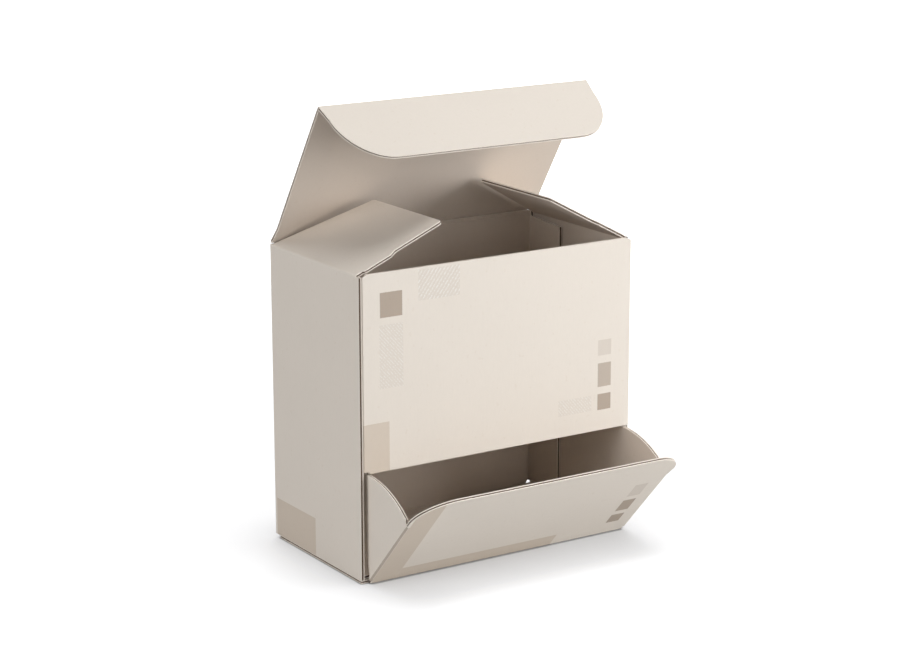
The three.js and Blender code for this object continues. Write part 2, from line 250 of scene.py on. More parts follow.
class Board:
    """Collects the faces of one folded piece of board, then makes its mesh."""

    def __init__(self, settings, outer_liner):
        self.s = settings
        board = settings.board
        liner = settings.liner
        edge = settings.edge
        recess = settings.recess
        self.outer_radius = settings.fold_radius + board
        self.inner_radius = settings.fold_radius
        self.sharpness = settings.fold_sharpness
        self.profile = [
            (edge, 0, "cut"),
            (0, -edge, "cut"),
            (0, -outer_liner, "cut"),
            # The set-back face between the liners, coloured dark as painted shade of the hollow flutes
            (recess, -outer_liner, "core"),
            (recess, liner - board, "cut"),
            (0, liner - board, "cut"),
            (0, edge - board, "cut"),
            (edge, -board, None),
        ]
        self.faces = []

    def face(self, corners, look, coordinates=None, normals=None):
        """Keeps one face. Without normals it is a flat one."""
        if normals is None:
            normal = (corners[1] - corners[0]).cross(corners[2] - corners[0])
            if normal.length < SMALLEST_NORMAL:
                normal = (corners[2] - corners[0]).cross(corners[3] - corners[0])
            normals = [normal.normalized()] * len(corners)
        if coordinates is None:
            coordinates = [(c.x, c.y) for c in corners]
        self.faces.append((corners, look, coordinates, normals))

    def rim(self, first, second):
        """Cut edge between two columns of profile points."""
        for k in range(len(self.profile) - 1):
            look = self.profile[k][2]
            self.face([second[k], first[k], first[k + 1], second[k + 1]], look)

    def column(self, matrix, corner, inward):
        """Profile points at one corner of a panel, from its outer face to its inner one."""
        return [
            matrix @ Vector((corner.x + inward.x * inset, corner.y + inward.y * inset, z))
            for inset, z, _ in self.profile
        ]

    def facing(self, matrix, outward, turn):
        """Direction of a bent face that has turned from the panel's own towards outward."""
        across = outward * math.sin(turn)
        return (matrix.to_3x3() @ Vector((*across, math.cos(turn)))).normalized()

    def fold_reach(self, turn):
        """Distance from a fold's middle to its creased outer face, and that face's normal."""
        centre = self.outer_radius - self.sharpness
        flat_turn = math.atan2(centre, self.outer_radius)
        if turn <= flat_turn:
            return self.outer_radius / math.cos(turn), 0.0
        if turn >= math.pi / 2 - flat_turn:
            return self.outer_radius / math.sin(turn), math.pi / 2
        towards = centre * (math.cos(turn) + math.sin(turn))
        reach = towards + math.sqrt(towards ** 2 - 2 * centre ** 2 + self.sharpness ** 2)
        return reach, math.atan2(reach * math.sin(turn) - centre, reach * math.cos(turn) - centre)

    def strip(self, look, corners, flat, way, next_way):
        """Smooth face between two steps of a bend."""
        self.face(corners, look, [tuple(f) for f in flat], [way, way, next_way, next_way])

    def add_fold(self, matrix, a, b, outward, crease, look):
        """Fixed quarter fold at one edge of a panel, and the panel beyond it."""
        next_panel, (first_trim, last_trim) = crease
        steps = self.s.fold_steps
        board = self.s.board
        middle = self.outer_radius - board / 2
        along = (b - a).normalized()
        columns = []
        for i in range(steps + 1):
            turn = math.pi / 2 * i / steps
            reach, lean = self.fold_reach(turn)
            pair = []
            for corner, trim in ((a, first_trim), (b, -last_trim)):
                sign = 1 if corner is a else -1
                points = []
                for inset, z, _ in self.profile:
                    r = self.inner_radius + (reach - self.inner_radius) * (1 + z / board)
                    flat = corner + along * (sign * inset + trim * i / steps) + outward * r * math.sin(turn)
                    points.append(matrix @ Vector((flat.x, flat.y, r * math.cos(turn) - self.outer_radius)))
                pair.append(points)
            columns.append((pair, self.facing(matrix, outward, lean), outward * middle * turn))
        for (pair, way, shift), (next_pair, next_way, next_shift) in zip(columns, columns[1:]):
            (first_a, first_b), (second_a, second_b) = pair, next_pair
            flat = [b + shift, a + shift, a + next_shift, b + next_shift]
            self.strip(look, [first_b[0], first_a[0], second_a[0], second_b[0]], flat, way, next_way)
            self.strip("inner", [first_a[-1], first_b[-1], second_b[-1], second_a[-1]],
                       [flat[1], flat[0], flat[3], flat[2]], -way, -next_way)
            self.rim(first_a, second_a)
            self.rim(second_b, first_b)
        end = b - along * last_trim + outward * self.outer_radius
        back = (-along.x, -along.y, 0)
        local = panel_frame((end.x, end.y, -self.outer_radius), back, (0, 0, -1))
        self.add_panel(next_panel, matrix @ local, True)

    def add_bead(self, matrix, a, b, outward, look, start, finish):
        """Rounded root of a turning panel, as thick as the board."""
        steps = self.s.fold_steps
        half = self.s.board / 2
        rows = []
        for i in range(steps + 1):
            turn = math.pi * i / steps
            shift = outward * half * math.sin(turn)
            z = half * math.cos(turn) - half
            ends = [matrix @ Vector((p.x + shift.x, p.y + shift.y, z)) for p in (a, b)]
            rows.append((ends, self.facing(matrix, outward, turn), shift))
        for i, ((ends, way, shift), (next_ends, next_way, next_shift)) in enumerate(zip(rows, rows[1:])):
            side = look if i < steps // 2 else "inner"
            flat = [b + shift, a + shift, a + next_shift, b + next_shift]
            self.strip(side, [ends[1], ends[0], next_ends[0], next_ends[1]], flat, way, next_way)
        arc_a = [ends[0] for ends, _, _ in rows]
        arc_b = [ends[1] for ends, _, _ in rows]
        self.face([*start, *reversed(arc_a[1:-1])], "cut")
        self.face([*arc_b[1:-1], *reversed(finish)], "cut")

    def add_panel(self, flat_panel, matrix, is_folded):
        """Both faces and all edges of one panel. A folded panel's first edge is its crease."""
        outline = flat_panel["outline"]
        folds = flat_panel["folds"]
        beads = flat_panel["beads"]
        look = flat_panel["look"]
        count = len(outline)
        creases = set(folds) | ({0} if is_folded else set())
        inward = []
        for i, corner in enumerate(outline):
            before, after = outline[i - 1], outline[(i + 1) % count]
            previous_edge = (i - 1) % count
            if i in beads or previous_edge in beads:
                inward.append(point(0, 0))
            elif i in creases:
                inward.append((after - corner).normalized())
            elif previous_edge in creases:
                inward.append((before - corner).normalized())
            else:
                first = (corner - before).normalized()
                second = (after - corner).normalized()
                bisector = point(-first.y - second.y, first.x + second.x)
                inward.append(bisector / max(CHAMFER_LIMIT, 1 + first.dot(second)))
        columns = [self.column(matrix, corner, way) for corner, way in zip(outline, inward)]
        out = (matrix.to_3x3() @ Vector((0, 0, 1))).normalized()
        flat = [tuple(corner) for corner in outline]
        self.face([c[0] for c in columns], look, flat, [out] * count)
        self.face([c[-1] for c in reversed(columns)], "inner", flat[::-1], [-out] * count)
        for i, a in enumerate(outline):
            b = outline[(i + 1) % count]
            outward = point(b.y - a.y, a.x - b.x).normalized()
            if i in folds:
                self.add_fold(matrix, a, b, outward, folds[i], look)
            elif i in beads:
                self.add_bead(matrix, a, b, outward, look, columns[i], columns[(i + 1) % count])
            elif not (is_folded and i == 0):
                self.rim(columns[i], columns[(i + 1) % count])

    def mesh_object(self, name, looks):
        """One closed mesh in metres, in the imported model's frame."""
        middle = Vector((self.s.width / 2, self.s.depth / 2, 0))
        index = {}
        vertices = []
        polygons = []
        kept = []
        names = []
        for corners, look, coordinates, ways in self.faces:
            polygon = []
            rest = []
            for corner, flat, way in zip(corners, coordinates, ways):
                place = (corner - middle) * MM
                number = near_vertex(index, place)
                if number == len(vertices):
                    vertices.append(place)
                if number not in polygon:
                    polygon.append(number)
                    rest.append((flat, way))
            if len(polygon) > 2:
                polygons.append(polygon)
                kept.append((look, rest))
                if look not in names:
                    names.append(look)
        mesh = bpy.data.meshes.new(name)
        mesh.from_pydata(vertices, [], polygons)
        for look in names:
            mesh.materials.append(looks[look])
        layer = mesh.uv_layers.new(name="flat")
        normals = []
        for polygon, (look, rest) in zip(mesh.polygons, kept):
            polygon.material_index = names.index(look)
            polygon.use_smooth = True
            for loop, (flat, way) in zip(polygon.loop_indices, rest):
                layer.data[loop].uv = (flat[0] * MM, flat[1] * MM)
                normals.append(way)
        mesh.update()
        mesh.normals_split_custom_set(normals)
        return add_object(name, mesh)


# Sizes that several pieces share

# Space between a glue flap's top and the dust flap over it, beyond the gap
SEAM_CLEARANCE = 0.6


class Layout:
    """Places worked out from the settings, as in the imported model."""

    def __init__(self, scene):
        s = scene.carton
        lid = scene.carton_lid
        hopper = scene.carton_hopper
        half = s.board / 2
        self.half = half
        self.radius = s.fold_radius + s.board
        self.lid_axis = Vector((0, s.depth - half, s.height - half))
        self.flap_axis = s.height - s.board - s.gap - half
        self.back_top = self.lid_axis.z - half - s.hinge_gap
        self.side_top = self.flap_axis - half - s.hinge_gap
        self.front_top = s.height - s.board - s.gap
        self.wall_top = self.flap_axis - s.hinge_gap
        self.back_corner = self.back_top - s.gap
        self.front_corner = self.front_top - s.gap
        self.seam_top = self.flap_axis - half - s.gap - SEAM_CLEARANCE
        self.wall_foot = s.board + s.gap
        self.floor_fold = self.wall_foot + self.radius
        self.seam_crease = self.wall_foot + self.radius
        self.hopper_axis = Vector((0, half, half))
        self.hopper_left = s.board + hopper.left_gap
        self.hopper_right = s.width - s.board - s.gap
        self.lid_turn = Matrix.Translation(self.lid_axis) @ Matrix.Rotation(-math.radians(lid.angle), 4, "X")
        tuck_crease = Matrix.Translation((0, -lid.length, 0))
        self.tuck_turn = self.lid_turn @ tuck_crease @ Matrix.Rotation(math.pi / 2, 4, "X")
        hopper_turn = Matrix.Rotation(math.radians(hopper.tilt), 4, "X")
        self.hopper_turn = Matrix.Translation(self.hopper_axis) @ hopper_turn


# Cuts of the walls, their glue flaps and the inner floor flaps
CORNER_CUT = 0.3
CREASE_RELIEF = 0.5
SEAM_SLOPE = 1.5
SEAM_INSET = 1.0
BACK_SEAM_FOOT = 3.5
BACK_SEAM_RELIEF = 1.8
FLOOR_FLAP = 44.0
FLOOR_FLAP_TAPER = 7.0
FLOOR_FLAP_FRONT = 2.5
FLOOR_FLAP_BACK = 2.0
WALL_FRONT_EDGE = 0.3


def floor_flap(crease_length):
    """Inner floor flap at a side wall's foot."""
    return panel([
        (0, 0),
        (crease_length, 0),
        (crease_length - FLOOR_FLAP_TAPER, FLOOR_FLAP),
        (FLOOR_FLAP_TAPER, FLOOR_FLAP),
    ])


def seam_flap(length, drop, reach):
    """Glue flap with sloped ends, cut down by drop at its top to clear the dust flap."""
    return panel([
        (0, 0),
        (length, 0),
        (length - drop, CREASE_RELIEF),
        (length - drop - SEAM_SLOPE, reach),
        (SEAM_SLOPE, reach),
    ])


def rear_shell_panels(s, at):
    """Left wall, back wall, back glue flap and left floor flap."""
    wall_back = s.depth - at.radius
    flap_end = wall_back - FLOOR_FLAP_BACK

    def wall(y, z):
        return at.back_corner - z, wall_back - y

    left_wall = panel([
        wall(wall_back, at.back_corner),
        wall(wall_back, at.wall_foot),
        wall(flap_end + CREASE_RELIEF, at.wall_foot),
        wall(flap_end, at.floor_fold),
        wall(FLOOR_FLAP_FRONT, at.floor_fold),
        wall(FLOOR_FLAP_FRONT - CREASE_RELIEF, at.wall_foot),
        wall(0, at.wall_foot),
        wall(0, at.wall_top),
        wall(wall_back - CORNER_CUT, at.wall_top),
    ], [(3, floor_flap(flap_end - FLOOR_FLAP_FRONT), 0, 0)], print_look="left_wall_print")
    glue_flap = seam_flap(at.back_corner - BACK_SEAM_FOOT, at.back_corner - at.seam_top, s.back_seam)
    left_crease = s.width - at.radius
    back_wall = panel([
        (at.seam_crease + BACK_SEAM_RELIEF, s.gap),
        (left_crease - CORNER_CUT, s.gap),
        (left_crease, at.wall_foot),
        (left_crease, at.back_corner),
        (left_crease - CORNER_CUT, at.back_top),
        (at.seam_crease + CORNER_CUT, at.back_top),
        (at.seam_crease, at.back_corner),
        (at.seam_crease, BACK_SEAM_FOOT),
    ], [(2, left_wall, 0, 0), (6, glue_flap, 0, 0)])
    outside = panel_frame((s.width, s.depth, 0), (-1, 0, 0), (0, 0, 1))
    return back_wall, outside


def front_shell_panels(s, at):
    """Upper front, right wall, front glue flap and right floor flap."""
    right_crease = s.width - at.radius
    flap_end = s.depth - at.radius - FLOOR_FLAP_BACK

    def wall(y, z):
        return at.side_top - z, y - at.radius

    right_wall = panel([
        wall(at.radius, at.side_top),
        wall(at.radius, s.opening),
        wall(WALL_FRONT_EDGE, s.opening - WALL_FRONT_EDGE),
        wall(WALL_FRONT_EDGE, at.wall_foot),
        wall(FLOOR_FLAP_FRONT - CREASE_RELIEF, at.wall_foot),
        wall(FLOOR_FLAP_FRONT, at.floor_fold),
        wall(flap_end, at.floor_fold),
        wall(flap_end + CREASE_RELIEF, at.wall_foot),
        wall(s.depth, at.wall_foot),
        wall(s.depth, at.wall_top),
        wall(at.radius + CORNER_CUT, at.wall_top),
    ], [(5, floor_flap(flap_end - FLOOR_FLAP_FRONT), 0, 0)])
    seam_foot = s.opening + SEAM_INSET
    drop = at.front_corner - at.side_top
    front = panel([
        (at.seam_crease + SEAM_INSET, s.opening),
        (right_crease, s.opening),
        (right_crease, at.front_corner),
        (right_crease - CORNER_CUT, at.front_top),
        (at.seam_crease + CORNER_CUT, at.front_top),
        (at.seam_crease, at.front_corner),
        (at.seam_crease, seam_foot),
    ], [
        (1, right_wall, 0, drop),
        (5, seam_flap(at.side_top - seam_foot, at.side_top - at.seam_top, s.front_seam), drop, 0),
    ], print_look="front_print")
    outside = panel_frame((0, 0, 0), (1, 0, 0), (0, 0, 1))
    return front, outside


# Sizes of the base panel and its tuck
BASE_SIDE_INSET = 0.9
BASE_BACK_INSET = 2.1
BASE_TUCK = 20.0
BASE_TUCK_LEFT = 3.0
BASE_TUCK_RIGHT = 6.0
BASE_TUCK_CORNER = 8.0
BASE_NOTCH = 1.0


def base_panels(s, at):
    """Base panel with its tuck inside the back wall."""
    crease = at.seam_crease
    front_edge = s.depth - (at.hopper_axis.y + at.half + s.gap)
    start = BASE_TUCK_LEFT
    end = s.width - BASE_TUCK_RIGHT
    span = end - start
    corner = BASE_TUCK_CORNER
    tuck = panel([
        (0, 0),
        (span, 0),
        *ellipse(span - corner, BASE_TUCK - corner, corner, corner, 0, 90),
        *ellipse(corner, BASE_TUCK - corner, corner, corner, 90, 180),
    ])
    base = panel([
        (start, crease),
        (end, crease),
        (end + BASE_NOTCH, BASE_BACK_INSET),
        (s.width - BASE_SIDE_INSET, BASE_BACK_INSET),
        (s.width - BASE_SIDE_INSET, front_edge),
        (BASE_SIDE_INSET, front_edge),
        (BASE_SIDE_INSET, BASE_BACK_INSET),
        (start - BASE_NOTCH, BASE_BACK_INSET),
    ], [(0, tuck, 0, 0)])
    underside = panel_frame((0, s.depth, 0), (1, 0, 0), (0, -1, 0))
    return base, underside


# How far behind its crease a gusset's foot rises, to pass over the floor flap
FLOOR_CLEARANCE = 0.4
# Straight pieces of a gusset's arc and of its stop ear's
ARC_STEPS = 30
EAR_STEPS = 8


def gusset_points(s, hopper, at):
    """Gusset as (up the crease, in from it), from the crease's foot round to its top."""
    behind = at.radius - at.half

    def on_arc(radius, angle):
        turn = math.radians(angle)
        return point(radius * math.cos(turn), radius * math.sin(turn) - behind)

    back = hopper.tilt + hopper.inside
    clearance = s.board + s.gap - at.hopper_axis.y
    ear_foot = hopper.tilt + math.degrees(math.asin(clearance / hopper.radius))
    ear_tip = hopper.tilt + math.degrees(math.asin(clearance / hopper.ear))
    arc_start = 2 * math.degrees(math.asin(behind / hopper.radius))
    points = [point(hopper.foot, 0), point(hopper.foot + s.board + s.gap, FLOOR_CLEARANCE)]
    for radius, start, end, steps in (
        (hopper.ear, back, ear_tip, EAR_STEPS),
        (hopper.radius, ear_foot, arc_start, ARC_STEPS),
    ):
        points += [on_arc(radius, start + (end - start) * i / steps) for i in range(steps + 1)]
    return points + [point(hopper.crease, 0)]


def hopper_panels(s, hopper, at):
    """Hopper's front panel with a gusset at each side."""
    left_crease = at.hopper_left + at.radius
    right_crease = at.hopper_right - at.radius
    foot_first = gusset_points(s, hopper, at)
    top_first = [foot_first[-1], *foot_first[:-1]]
    left = panel([(p.x - hopper.foot, p.y) for p in [foot_first[0], *reversed(foot_first[1:])]])
    right = panel([(hopper.crease - p.x, p.y) for p in top_first])
    wide = hopper.corner_width
    tall = hopper.corner_height
    right_wide = hopper.right_width
    right_tall = hopper.right_height
    right_middle = at.hopper_right + hopper.lip_side - right_wide
    outline = [
        (at.hopper_left + at.half, 0),
        (at.hopper_right - at.half, 0),
        (right_crease, hopper.foot),
        (right_crease, hopper.crease),
        (at.hopper_right, hopper.crease),
        *ellipse(right_middle, hopper.lip - right_tall, right_wide, right_tall, 0, 90),
        *ellipse(at.hopper_left + wide, hopper.lip - tall, wide, tall, 90, 180),
        (at.hopper_left, hopper.crease),
        (left_crease, hopper.crease),
        (left_crease, hopper.foot),
    ]
    front = panel(outline, [(2, right, 0, 0), (len(outline) - 2, left, 0, 0)], [0], "hopper_print")
    outside = panel_frame((0, -at.half, 0), (1, 0, 0), (0, 0, 1))
    return front, at.hopper_turn @ outside


def lid_frame(s, lid, at):
    """Plane of the lid or tuck before it is turned about its crease."""
    return panel_frame((s.width - lid.inset, 0, at.half), (-1, 0, 0), (0, -1, 0))


def lid_panels(s, lid, at):
    """Lid between its two creases, a little wider at its root."""
    span = s.width - 2 * lid.inset
    reach = lid.length - at.half - s.hinge_gap
    wide = lid.root_width
    outline = [
        (-wide, 0),
        (span + wide, 0),
        (span, lid.root_height),
        (span, reach),
        (0, reach),
        (0, lid.root_height),
    ]
    return panel(outline, beads=[0]), at.lid_turn @ lid_frame(s, lid, at)


def tuck_panels(s, lid, at):
    """Tuck with its rounded corners."""
    span = s.width - 2 * lid.inset
    wide = lid.tuck_width
    tall = lid.tuck_height
    middle = lid.tuck - tall
    outline = [
        (0, 0),
        (span, 0),
        *ellipse(span - lid.shoulder - wide, middle, wide, tall, 0, 90),
        *ellipse(lid.shoulder + wide, middle, wide, tall, 90, 180),
    ]
    return panel(outline, beads=[0]), at.tuck_turn @ lid_frame(s, lid, at)


# Angle at which a dust flap's back corner ends, on its slanted edge
BACK_CORNER_END = 15


def dust_flap_panels(s, lid, at, side):
    """Dust flap. side is 1 for the left one and -1 for the right one."""
    front_end = lid.flap_front + lid.step
    back_root = s.depth - lid.flap_back
    slope = lid.slant / lid.flap
    back_middle = back_root - lid.slant + (slope - 1) * lid.back_corner
    front = lid.front_corner
    back = lid.back_corner
    notch = lid.flap_front + lid.flap_notch
    round_points = [
        point(notch, lid.notch_length),
        point(lid.flap_front, lid.notch_length + lid.flap_notch),
        point(lid.flap_front, lid.step_at),
        point(front_end, lid.step_at + 2 * lid.step),
        *ellipse(front_end + front, lid.flap - front, front, front, 180, 90),
        *ellipse(back_middle, lid.flap - back, back, back, 90, BACK_CORNER_END),
    ]
    root = [point(back_root, 0), point(notch, 0)]
    outline = root + round_points if side > 0 else root[::-1] + round_points[::-1]
    start = outline[0].x
    outline = [(side * (start - p.x), p.y) for p in outline]
    angle = -math.radians(lid.left_angle) if side > 0 else math.radians(lid.right_angle)
    place = at.half if side > 0 else s.width - at.half
    turn = Matrix.Translation((place, 0, at.flap_axis)) @ Matrix.Rotation(angle, 4, "Y")
    flat = panel_frame((0, start, at.half), (0, -side, 0), (side, 0, 0))
    return panel(outline, beads=[0]), turn @ flat


# Shader node groups

class Nodes:
    """Short ways to add and link nodes in one tree."""

    def __init__(self, tree):
        self.tree = tree

    def add(self, kind, inputs=None, **settings):
        node = self.tree.nodes.new(kind)
        for key, value in settings.items():
            setattr(node, key, value)
        for key, value in (inputs or {}).items():
            self.put(node.inputs[key], value)
        return node

    def put(self, socket, value):
        if isinstance(value, bpy.types.NodeSocket):
            self.tree.links.new(value, socket)
        elif isinstance(value, bpy.types.Node):
            self.tree.links.new(value.outputs[0], socket)
        else:
            socket.default_value = value

    def math(self, operation, a, b=0.0):
        return self.add("ShaderNodeMath", {0: a, 1: b}, operation=operation).outputs[0]

    def plus(self, a, b):
        return self.math("ADD", a, b)

    def minus(self, a, b):
        return self.math("SUBTRACT", a, b)

    def times(self, a, b):
        return self.math("MULTIPLY", a, b)

    def mix(self, factor, a, b):
        """Mix of two colours, whose sockets are the seventh and eighth ones."""
        return self.add("ShaderNodeMix", {"Factor": factor, 6: a, 7: b}, data_type="RGBA").outputs[2]

    def noise(self, vector, scale, detail=2.0, roughness=0.5):
        inputs = {"Vector": vector, "Scale": scale, "Detail": detail, "Roughness": roughness}
        return self.add("ShaderNodeTexNoise", inputs).outputs[0]

    def spread(self, value, low, high, to_low=0.0, to_high=1.0):
        inputs = {"Value": value, "From Min": low, "From Max": high, "To Min": to_low, "To Max": to_high}
        return self.add("ShaderNodeMapRange", inputs).outputs[0]


def new_group(name, inputs, outputs):
    """An empty shader group, as (tree, sockets given to it, sockets it puts out, short ways)."""
    tree = bpy.data.node_groups.new(name, "ShaderNodeTree")
    for socket_name, kind, default in inputs:
        socket = tree.interface.new_socket(name=socket_name, in_out="INPUT", socket_type=kind)
        if default is not None:
            socket.default_value = default
    for socket_name, kind in outputs:
        tree.interface.new_socket(name=socket_name, in_out="OUTPUT", socket_type=kind)
    n = Nodes(tree)
    return tree, n.add("NodeGroupInput").outputs, n.add("NodeGroupOutput").inputs, n


FLOAT = "NodeSocketFloat"
COLOUR = "NodeSocketColor"
VECTOR = "NodeSocketVector"


# Noise scales of the paper, per metre
MOTTLE_SCALE = 26.0
FLECK_SCALE = 520.0
FIBRE_SCALE = 900.0
GRAIN_SCALE = 2600.0
# Scale of the fibres' place on each axis, which stretches them upright
FIBRE_STRETCH = (1.0, 1.0, 0.28)
# Range of the noise where a fleck starts, and what a fleck does to the colour
FLECK_RANGE = (0.70, 0.76)
FLECK_TINT = (0.80, 0.72, 0.62)
# How much the fibres change the roughness, and their share in the relief
FIBRE_ROUGHNESS = 0.18
FIBRE_RELIEF = 0.7


def paper_group():
    """Paper liner: fibres, soft mottling and sparse flecks."""
    tree, given, out, n = new_group("Board paper", [
        ("Colour", COLOUR, (0.8, 0.7, 0.6, 1)),
        ("Place", VECTOR, None),
        ("Mottle", FLOAT, 0.04),
        ("Fibre", FLOAT, 0.05),
        ("Flecks", FLOAT, 0.12),
        ("Roughness", FLOAT, 0.7),
    ], [("Colour", COLOUR), ("Roughness", FLOAT), ("Height", FLOAT)])
    place = given["Place"]
    mottle = n.noise(place, MOTTLE_SCALE, 3.0)
    stretched = n.add("ShaderNodeMapping", {"Vector": place, "Scale": FIBRE_STRETCH}, vector_type="POINT")
    fibre = n.noise(stretched, FIBRE_SCALE, 4.0, 0.65)
    grain = n.noise(place, GRAIN_SCALE, 2.0, 0.6)
    flecks = n.spread(n.noise(place, FLECK_SCALE, 1.0, 0.4), *FLECK_RANGE)
    shade = n.times(n.minus(mottle, 0.5), given["Mottle"])
    fibre_shade = n.times(n.minus(fibre, 0.5), given["Fibre"])
    level = n.plus(1.0, n.plus(shade, fibre_shade))
    scaled = n.add("ShaderNodeVectorMath", {0: given["Colour"], "Scale": level}, operation="SCALE")
    darker = n.add("ShaderNodeVectorMath", {0: scaled, 1: FLECK_TINT}, operation="MULTIPLY")
    n.put(out["Colour"], n.mix(n.times(flecks, given["Flecks"]), scaled, darker))
    rough = n.plus(given["Roughness"], n.times(n.minus(fibre, 0.5), FIBRE_ROUGHNESS))
    n.put(out["Roughness"], rough)
    height = n.plus(n.times(fibre, FIBRE_RELIEF), n.times(grain, 1 - FIBRE_RELIEF))
    n.put(out["Height"], height)
    return tree


# Scale of the unevenness of an ink edge, per metre, and its size in metres
EDGE_SCALE = 1500.0
EDGE_WOBBLE = 0.0002


def field_group():
    """Mask of one printed rectangle in the panel's own plane, with slightly uneven ink edges."""
    tree, given, out, n = new_group("Ink field", [
        ("Place", VECTOR, None),
        ("Left", FLOAT, 0.0),
        ("Right", FLOAT, 0.01),
        ("Low", FLOAT, 0.0),
        ("High", FLOAT, 0.01),
        ("Softness", FLOAT, 0.00012),
    ], [("Mask", FLOAT)])
    wobble = n.times(n.minus(n.noise(given["Place"], EDGE_SCALE), 0.5), EDGE_WOBBLE)
    axes = n.add("ShaderNodeSeparateXYZ", {0: given["Place"]})
    mask = 1.0
    for axis, low, high in (("X", "Left", "Right"), ("Y", "Low", "High")):
        value = n.plus(axes.outputs[axis], wobble)
        soft = given["Softness"]
        above = n.math("DIVIDE", n.minus(value, given[low]), soft)
        below = n.math("DIVIDE", n.minus(given[high], value), soft)
        inside = n.math("MINIMUM", above, below)
        clamped = n.add("ShaderNodeClamp", {0: inside}).outputs[0]
        mask = n.times(mask, clamped)
    n.put(out["Mask"], mask)
    return tree


# Edges of a dash, as shares of the pitch from its middle
DASH_EDGE = (0.16, 0.26)
# Scale of the gaps in the dashes, per metre, and the range of the noise where they start
DASH_GAP_SCALE = 1100.0
DASH_GAP_RANGE = (0.47, 0.53)


def hatch_group():
    """Fine slanted dashes for the textured print patches."""
    tree, given, out, n = new_group("Fine hatch", [
        ("Place", VECTOR, None),
        ("Pitch", FLOAT, 0.0017),
        ("Slant", FLOAT, 0.8),
        ("Broken", FLOAT, 0.5),
    ], [("Mask", FLOAT)])
    axes = n.add("ShaderNodeSeparateXYZ", {0: given["Place"]})
    run = n.minus(axes.outputs["X"], n.times(axes.outputs["Y"], given["Slant"]))
    phase = n.math("FRACT", n.math("DIVIDE", run, given["Pitch"]))
    stroke = n.spread(n.math("ABSOLUTE", n.minus(phase, 0.5)), *DASH_EDGE, 1.0, 0.0)
    gaps = n.spread(n.noise(given["Place"], DASH_GAP_SCALE, 1.0), *DASH_GAP_RANGE)
    kept = n.minus(1.0, n.times(given["Broken"], gaps))
    n.put(out["Mask"], n.times(stroke, kept))
    return tree


# Print on the panels, and one painted crease shade on the hopper: kind, left, right, low and high, in
# millimetres in the panel's own plane
FRONT_FIELDS = [
    ("ink", 10.2, 21.2, 115.9, 126.8),
    ("tan", -5.0, 14.5, 40.0, 70.7),
    ("hatch", 29.0, 49.9, 120.9, 134.3),
    ("speckle", 9.8, 21.6, 85.2, 112.9),
    ("speckle", 101.3, 119.4, 58.5, 65.8),
    ("pale", 122.6, 129.9, 69.0, 80.0),
    ("ink", 122.6, 129.9, 58.3, 65.8),
    ("faint", 122.6, 129.9, 83.4, 90.6),
]
HOPPER_FIELDS = [
    ("tan", 4.9, 17.0, -5.0, 61.0),
    ("tan", 16.9, 97.5, -5.0, 8.3),
    # Painted crease shade, not print: a narrow darker line on the fold to the left gusset
    ("pale", 4.2, 4.9, 1.6, 46.6),
    ("ink", 123.4, 130.6, 9.3, 16.3),
    ("ink", 123.4, 130.6, 19.5, 28.8),
    ("faint", 123.4, 130.6, 32.0, 42.0),
]
# The tan field low at the left wall's back, which runs past the wall's foot and its crease
WALL_FIELD_TOP = 19.2
WALL_FIELD_WIDTH = 34.8
FIELD_OVERRUN = 5.0
# Marks of the textured patches, the patch's tone and how light its dashes are
HATCHES = {
    "hatch": ({"Pitch": 0.0019, "Slant": 0.75, "Broken": 0.8}, 0.16, 0.75),
    "speckle": ({"Pitch": 0.0015, "Slant": -0.9, "Broken": 0.9}, 0.13, 0.6),
}
# How strongly each kind of plain field covers the paper
FIELD_STRENGTHS = {"tan": 1.0, "ink": 1.0, "pale": 0.8, "faint": 0.3}
# How glossy the paper is, and the depth of its relief in metres
PAPER_SPECULAR = 0.32
RELIEF_DEPTH = 0.00008


def place_group(n, group, inputs):
    """Use of a group in a material."""
    node = n.add("ShaderNodeGroup", node_tree=group)
    for key, value in inputs.items():
        n.put(node.inputs[key], value)
    return node


def new_material(name):
    """A material with its shader and short ways to its nodes."""
    material = bpy.data.materials.new(name)
    material.use_nodes = True
    tree = material.node_tree
    shader = tree.nodes["Principled BSDF"]
    shader.inputs["Specular IOR Level"].default_value = PAPER_SPECULAR
    return material, shader, Nodes(tree)


def board_material(name, groups, base, inks, fields, roughness, bump):
    """Paper face of the board with its printed fields and the painted crease shade among them."""
    _, shader, n = new_material(name)
    place = n.add("ShaderNodeTexCoord").outputs["Object"]
    flat = n.add("ShaderNodeUVMap", uv_map="flat").outputs[0] if fields else None
    shade = (*base, 1)
    height_cut = None
    for kind, left, right, low, high in fields:
        limits = {"Left": left * MM, "Right": right * MM, "Low": low * MM, "High": high * MM}
        mask = place_group(n, groups["field"], {"Place": flat, **limits}).outputs["Mask"]
        if kind in ("hatch", "speckle"):
            marks, tone, light = HATCHES[kind]
            strokes = place_group(n, groups["hatch"], {"Place": flat, **marks}).outputs["Mask"]
            shade = n.mix(n.times(mask, tone), shade, (*inks["ink"], 1))
            strokes = n.times(mask, strokes)
            height_cut = strokes if height_cut is None else n.math("MAXIMUM", height_cut, strokes)
            shade = n.mix(n.times(strokes, light), shade, (*inks["light"], 1))
        else:
            ink = inks["tan" if kind == "tan" else "ink"]
            shade = n.mix(n.times(mask, FIELD_STRENGTHS[kind]), shade, (*ink, 1))
    paper = place_group(n, groups["paper"], {"Colour": shade, "Place": place, "Roughness": roughness})
    height = paper.outputs["Height"]
    if height_cut is not None:
        height = n.minus(height, height_cut)
    relief = n.add("ShaderNodeBump", {"Height": height, "Strength": bump, "Distance": RELIEF_DEPTH})
    n.put(shader.inputs["Base Color"], paper.outputs["Colour"])
    n.put(shader.inputs["Roughness"], paper.outputs["Roughness"])
    n.put(shader.inputs["Normal"], relief.outputs["Normal"])


